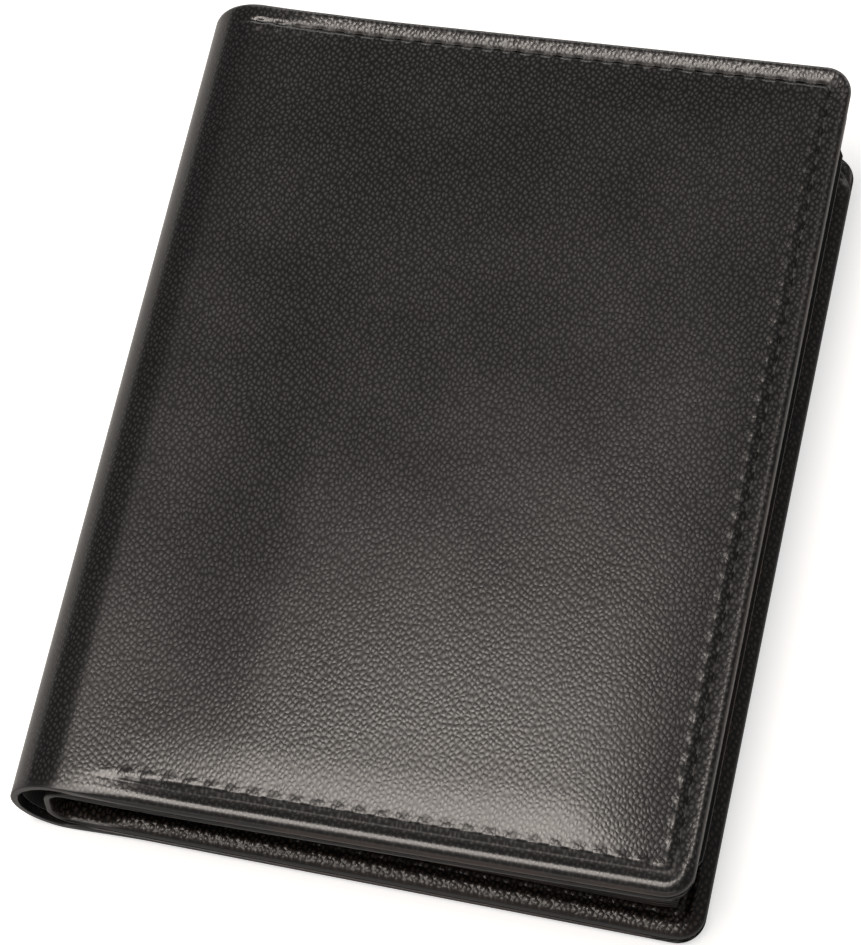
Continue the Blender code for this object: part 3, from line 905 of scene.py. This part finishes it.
seams = []
for side in ("front", "back"):
    outline = Outline(0.0, EDGE[side] + OUTER_EXTRA, BOTTOM, LEAF_TOP[side], CORNER)
    rows = leaf_rows(outline, SEAM_START["bottom"] + OUTER_EXTRA, SEAM_START["top"] + OUTER_EXTRA)
    outside = sew(side + "_seam_outside", rows, groove_bottom, side, 0.0, OUTER_BEND)
    outline = Outline(0.0, EDGE[side] + LOOP_EXTRA, BOTTOM, LEAF_TOP[side] - WALL_DROP, CORNER)
    rows = leaf_rows(outline, WALL_SEAM_START, None)
    inside = sew(side + "_seam_inside", rows, -WALL + 0.12 * MM, side, WALL_LEVEL, LOOP_BEND, flip=-1, seed=5)
    seams += [outside, inside]
    if side == "front":
        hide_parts("front_stitching")
        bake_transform(outside)
    else:
        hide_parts("back_stitching")
        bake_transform(outside)
    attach(inside, side + "_leaf")
print([(seam.name, len(seam.data.polygons)) for seam in seams])

# %% [markdown]
# ## Finishes
# Black nappa is a field of small pebbles, about 0.7 mm across, with thin creases between them. The pebbles
# catch the light and the creases stay dark, and the creases' shade is painted into the colour too. The grain is
# a node group. One cell pattern gives each pebble's round top, and a second one over the same cells gives the
# way to the nearest crease. The cell size is an input, so that the outside and the inside can each have their
# own. The group puts out a height and masks only, and each material keeps its own shader.


# %% Node helpers
def node(tree, kind, inputs=None, **settings):
    """A shader node. Each input is given a value, or the socket that it is linked to."""
    made = tree.nodes.new(kind)
    for key, value in settings.items():
        setattr(made, key, value)
    for key, value in (inputs or {}).items():
        if isinstance(value, bpy.types.NodeSocket):
            tree.links.new(value, made.inputs[key])
        else:
            made.inputs[key].default_value = value
    return made


def maths(tree, operation, *values, clamp=False):
    made = node(tree, "ShaderNodeMath", dict(enumerate(values)), operation=operation, use_clamp=clamp)
    return made.outputs[0]


def times(tree, first, second, clamp=False):
    return maths(tree, "MULTIPLY", first, second, clamp=clamp)


def ranged(tree, value, low, high, to_low=0.0, to_high=1.0, kind="SMOOTHSTEP"):
    limits = {"Value": value, "From Min": low, "From Max": high, "To Min": to_low, "To Max": to_high}
    return node(tree, "ShaderNodeMapRange", limits, interpolation_type=kind).outputs["Result"]


def noise(tree, place, scale, detail, dimensions="2D"):
    inputs = {"Vector": place, "Scale": scale, "Detail": detail}
    return node(tree, "ShaderNodeTexNoise", inputs, noise_dimensions=dimensions).outputs


def colour_mix(tree, share, first, second, blend="MIX"):
    """Two colours mixed. Each is a socket or three numbers."""
    made = node(tree, "ShaderNodeMix", {0: share}, data_type="RGBA", blend_type=blend)
    for key, colour in ((6, first), (7, second)):
        if isinstance(colour, tuple):
            made.inputs[key].default_value = (*colour, 1)
        else:
            tree.links.new(colour, made.inputs[key])
    return made.outputs[2]


# %% Nappa grain
CREASE = 0.08
grain_group = bpy.data.node_groups.new("nappa_grain", "ShaderNodeTree")
tree = grain_group
for label, kind in (("Vector", "Vector"), ("Cells per Metre", "Float"), ("Crease", "Float")):
    tree.interface.new_socket(name=label, in_out="INPUT", socket_type="NodeSocket" + kind)
for label in ("Height", "Pebble", "Broad"):
    tree.interface.new_socket(name=label, in_out="OUTPUT", socket_type="NodeSocketFloat")
given = tree.nodes.new("NodeGroupInput").outputs
result = tree.nodes.new("NodeGroupOutput").inputs
place, scale = given["Vector"], given["Cells per Metre"]

warp = noise(tree, place, 190.0, 1.0)["Color"]
centred = node(tree, "ShaderNodeVectorMath", {0: warp, 1: (0.5, 0.5, 0.5)}, operation="SUBTRACT").outputs[0]
pushed = node(tree, "ShaderNodeVectorMath", {0: centred, "Scale": 0.0007}, operation="SCALE").outputs[0]
moved = node(tree, "ShaderNodeVectorMath", {0: place, 1: pushed}, operation="ADD").outputs[0]
drawn_out = {"Vector": moved, "Scale": (1.06, 0.8, 1.0), "Rotation": (0, 0, 0.5)}
drawn = node(tree, "ShaderNodeMapping", drawn_out).outputs[0]
cells = {"Vector": drawn, "Scale": scale, "Randomness": 0.65}
middles = node(tree, "ShaderNodeTexVoronoi", cells, voronoi_dimensions="2D", feature="SMOOTH_F1")
middles.inputs["Smoothness"].default_value = 0.25
borders = node(tree, "ShaderNodeTexVoronoi", cells, voronoi_dimensions="2D", feature="DISTANCE_TO_EDGE")
domes = ranged(tree, middles.outputs["Distance"], -0.08, 0.62, 1.0, 0.0)
plateau = ranged(tree, borders.outputs["Distance"], -0.03, 0.32)
ripple = noise(tree, drawn, times(tree, scale, 0.5), 1.0)["Fac"]
folds = noise(tree, drawn, times(tree, scale, 0.28), 2.0)["Fac"]
broad = noise(tree, place, 60.0, 2.0)["Fac"]
lines = ranged(tree, maths(tree, "ABSOLUTE", maths(tree, "SUBTRACT", folds, 0.5)), 0.0, 0.05, 1.0, 0.0)
crease = times(tree, lines, ranged(tree, broad, 0.45, 0.65, 0.25, 1.0))

height = maths(tree, "ADD", times(tree, domes, 0.85), times(tree, ripple, 0.6))
height = maths(tree, "ADD", height, times(tree, plateau, 0.28))
height = maths(tree, "SUBTRACT", height, times(tree, crease, given["Crease"]))
tops = times(tree, plateau, ranged(tree, domes, 0.0, 1.0, 0.15, 1.2, "LINEAR"))
uneven = ranged(tree, ripple, 0.25, 0.75, 0.75, 1.25, "LINEAR")
uncreased = maths(tree, "SUBTRACT", 1.0, times(tree, crease, 0.5))
pebble = times(tree, times(tree, tops, uneven), uncreased, clamp=True)
for label, value in (("Height", height), ("Pebble", pebble), ("Broad", broad)):
    tree.links.new(value, result[label])

# %% Leather
# Painted shade: in the creases the leather's colour is its tone times this, so the shade in the creases is painted
# in.
CREASE_SHADE = 0.08
WORN_EDGE = (0.075, 0.038, 0.028)
EDGE_PAINT = (0.016, 0.016, 0.017)
PAINT_ROUGHNESS = 0.4
RELIEF_DEPTH = 0.00006


def new_material(name):
    made = bpy.data.materials.new(name)
    made.use_nodes = True
    return made, made.node_tree, made.node_tree.nodes["Principled BSDF"]


def give(shader, values):
    for key, value in values.items():
        shader.inputs[key].default_value = value


def attribute(tree, name):
    return node(tree, "ShaderNodeAttribute", attribute_name=name).outputs["Fac"]


def surface(tree, shader, colour, height, strength, depth=RELIEF_DEPTH):
    bump = node(tree, "ShaderNodeBump", {"Height": height, "Strength": strength, "Distance": depth})
    tree.links.new(colour, shader.inputs["Base Color"])
    tree.links.new(bump.outputs["Normal"], shader.inputs["Normal"])


def leather(name, tone, relief, rough, cells, paint_width=0.0, grained=False):
    """Nappa with its grain. paint_width is the width in mm of a painted cut edge."""
    made, tree, shader = new_material(name)
    place = node(tree, "ShaderNodeUVMap", uv_map="flat").outputs[0]
    given = {"Vector": place, "Cells per Metre": cells, "Crease": CREASE}
    grain = node(tree, "ShaderNodeGroup", given, node_tree=grain_group).outputs
    pebble, broad = grain["Pebble"], grain["Broad"]
    edge = attribute(tree, "edge")
    shown = ranged(tree, edge, 0.1, 0.8, 0.1, 1.0)
    if grained:
        shown = times(tree, shown, attribute(tree, "grain"))
    # Painted shade: where lit is low the colour falls from the tone to the crease shade. That happens in the
    # creases, near the edges, and wherever the grain fades.
    lit = times(tree, pebble, shown)
    colour = colour_mix(tree, lit, tuple(value * CREASE_SHADE for value in tone), tone)
    colour = colour_mix(tree, 0.5, colour, ranged(tree, broad, 0.3, 0.7, 0.8, 1.15), "MULTIPLY")
    rubbed = times(tree, ranged(tree, edge, 0.1, 0.6, 1.0, 0.0), ranged(tree, broad, 0.42, 0.62))
    colour = colour_mix(tree, times(tree, rubbed, 0.3), colour, WORN_EDGE)
    gloss = ranged(tree, pebble, 0.0, 1.0, rough + 0.03, rough, "LINEAR")
    gloss = maths(tree, "ADD", gloss, ranged(tree, broad, 0.3, 0.7, -0.012, 0.016))
    gloss = maths(tree, "ADD", gloss, ranged(tree, edge, 0.5, 1.6, 0.1, 0.0))
    if paint_width:
        paint = ranged(tree, edge, paint_width * 0.8, paint_width, 1.0, 0.0)
        paint = times(tree, paint, attribute(tree, "cut"))
        colour = colour_mix(tree, paint, colour, EDGE_PAINT)
        kept = times(tree, gloss, maths(tree, "SUBTRACT", 1.0, paint))
        gloss = maths(tree, "ADD", kept, times(tree, paint, PAINT_ROUGHNESS))
    coat = times(tree, lit, 0.1)
    if grained:
        groove = attribute(tree, "groove")
        gloss = maths(tree, "ADD", gloss, times(tree, groove, 0.3), clamp=True)
        coat = times(tree, coat, maths(tree, "SUBTRACT", 1.0, groove))
    surface(tree, shader, colour, times(tree, grain["Height"], shown), relief)
    tree.links.new(coat, shader.inputs["Coat Weight"])
    tree.links.new(gloss, shader.inputs["Roughness"])
    give(shader, {"Coat Roughness": rough})
    return made


outer_leather = leather("black_nappa", (0.060, 0.058, 0.0585), 0.24, 0.21, 1480.0, 0.3, grained=True)
wall_leather = leather("painted_edge_nappa", (0.070, 0.054, 0.047), 0.8, 0.24, 1350.0, 0.32)
inner_leather = leather("inner_nappa", (0.030, 0.027, 0.026), 0.6, 0.32, 1500.0)


# %% Cloth, thread, board and film
def textured(name, pattern, dark, light, strength, depth, values):
    """A plain finish whose colour and relief follow one pattern over the piece."""
    made, tree, shader = new_material(name)
    mask = pattern(tree, node(tree, "ShaderNodeTexCoord").outputs["Object"])
    surface(tree, shader, colour_mix(tree, mask, dark, light), mask, strength, depth)
    give(shader, values)
    return made


def threads(tree, place, way, scale, distortion):
    inputs = {"Vector": place, "Scale": scale, "Distortion": distortion}
    return node(tree, "ShaderNodeTexWave", inputs, bands_direction=way).outputs["Fac"]


textile = textured(
    "black_lining_cloth",
    lambda tree, place: times(tree, threads(tree, place, "X", 900.0, 0.6), threads(tree, place, "Y", 900.0, 0.6)),
    (0.006, 0.006, 0.0065),
    (0.018, 0.018, 0.019),
    0.6,
    RELIEF_DEPTH,
    {"Roughness": 0.8, "Sheen Weight": 0.15},
)
thread = textured(
    "black_thread",
    lambda tree, place: threads(tree, place, "DIAGONAL", 1400.0, 1.0),
    (0.004, 0.004, 0.004),
    (0.009, 0.0085, 0.0085),
    0.7,
    0.00005,
    {"Roughness": 0.8, "Specular IOR Level": 0.25},
)
cardboard = textured(
    "stiffener_board",
    lambda tree, place: noise(tree, place, 900.0, 6.0, "3D")["Fac"],
    (0.12, 0.08, 0.05),
    (0.24, 0.17, 0.11),
    0.3,
    0.0001,
    {"Roughness": 0.9},
)

film, tree, shader = new_material("clear_window_film")
smear = noise(tree, node(tree, "ShaderNodeTexCoord").outputs["Object"], 90.0, 4.0, "3D")["Fac"]
tree.links.new(ranged(tree, smear, 0.3, 0.7, 0.05, 0.16), shader.inputs["Roughness"])
give(shader, {"Base Color": (0.92, 0.94, 0.95, 1), "Transmission Weight": 1.0, "IOR": 1.3})
print("materials:", len(bpy.data.materials))


# %% [markdown]
# ## Each piece gets its finish
# The pieces that were made here take a whole material. The two boards inside the leaves stay as the CAD has
# them, and get a better one in the slot that they already have.

# %% Dressing
for pieces, material, slot in (
    (skins.values(), outer_leather, "outer_leather"),
    (walls.values(), wall_leather, "painted_edge_leather"),
    (linings.values(), textile, "lining_textile"),
    (inner_sheets + swing_parts + [hinge_strip], inner_leather, "inner_leather"),
    (seams, thread, "thread"),
    ([window_film], film, "clear_film"),
):
    for piece in pieces:
        piece.data.materials.clear()
        piece.data.materials.append(material)
    print(slot, len(pieces))
for name in ("front_board", "back_board"):
    for slot in nodes[name].material_slots:
        slot.material = cardboard

# %% [markdown]
# ## Floor, light and camera
# The photo is a product shot on white. A large softbox hangs level, high up and to the left: its reflection
# is the sheen on the lower part of the cover. A weak fill in front and a panel behind draw the light lines on
# the rolled edges. The camera stands where a fit of the wallet's outline to the photo puts it, with its
# slight roll.

# %% Floor
UNDER_WALLET = -0.2 * MM
deselect()
bpy.ops.mesh.primitive_plane_add(size=6, location=(0, 0, UNDER_WALLET))
floor = bpy.context.object
floor.name = "floor"
pale, tree, shader = new_material("pale_floor")
seen = node(tree, "ShaderNodeLightPath").outputs["Is Camera Ray"]
give(shader, {"Base Color": (0.8, 0.8, 0.8, 1), "Roughness": 0.95, "Emission Color": (1, 1, 1, 1)})
tree.links.new(times(tree, seen, 0.6), shader.inputs["Emission Strength"])
floor.data.materials.append(pale)


# %% Light
def softbox(name, place, target, size, power, colour):
    """A rectangular light that faces its target, or straight down without one."""
    light = bpy.data.lights.new(name, "AREA")
    light.shape = "RECTANGLE"
    light.size, light.size_y = size
    light.energy = power
    light.color = colour
    obj = bpy.data.objects.new(name, light)
    obj.location = place
    if target:
        obj.rotation_euler = (Vector(target) - Vector(place)).to_track_quat("-Z", "Y").to_euler()
    bpy.context.scene.collection.objects.link(obj)
    return obj


softbox("overhead_softbox", (-0.4085, -0.1225, 1.7), None, (0.583, 1.055), 22.0, (1.0, 0.915, 0.85))
softbox("front_fill", (0.15, -1.2, 0.3), (0, 0, 0.01), (1.2, 0.4), 2.0, (1.0, 0.95, 0.9))
softbox("backdrop_panel", (0.1, 1.1, 0.3), (0, 0, 0.02), (1.6, 0.5), 4.5, (1.0, 0.97, 0.94))
world = bpy.data.worlds.new("studio")
bpy.context.scene.world = world
world.use_nodes = True
give(world.node_tree.nodes["Background"], {"Color": (1, 1, 1, 1), "Strength": 0.14})

# %% Camera
FOCAL_PIXELS = 4606.18
IMAGE_HEIGHT = 945
ELEVATION = 1.140322
AZIMUTH = 0.266217
ROLL = -0.06087
DISTANCE = 655.04 * MM
TARGET = Vector((44.971 * MM + LEFT, 62.575 * MM + BOTTOM, 0))

level = math.cos(ELEVATION)
back = Vector((math.sin(AZIMUTH) * level, -math.cos(AZIMUTH) * level, math.sin(ELEVATION)))
level_right = Vector((math.cos(AZIMUTH), math.sin(AZIMUTH), 0))
level_up = back.cross(level_right)
right = level_right * math.cos(ROLL) + level_up * math.sin(ROLL)
up = level_up * math.cos(ROLL) - level_right * math.sin(ROLL)
lens = bpy.data.cameras.new("camera")
lens.sensor_width = 36
lens.lens = FOCAL_PIXELS * lens.sensor_width / IMAGE_HEIGHT
lens.clip_start = 0.01
camera = bpy.data.objects.new("camera", lens)
bpy.context.scene.collection.objects.link(camera)
turn = Matrix((right, up, back)).transposed()
camera.matrix_world = Matrix.Translation(TARGET + back * DISTANCE) @ turn.to_4x4()
bpy.context.scene.camera = camera
bpy.context.scene.view_settings.view_transform = "Standard"
print("lens", round(lens.lens, 1), "mm")

# %% [markdown]
# ## Clearing the selection

# %% Deselect
deselect()
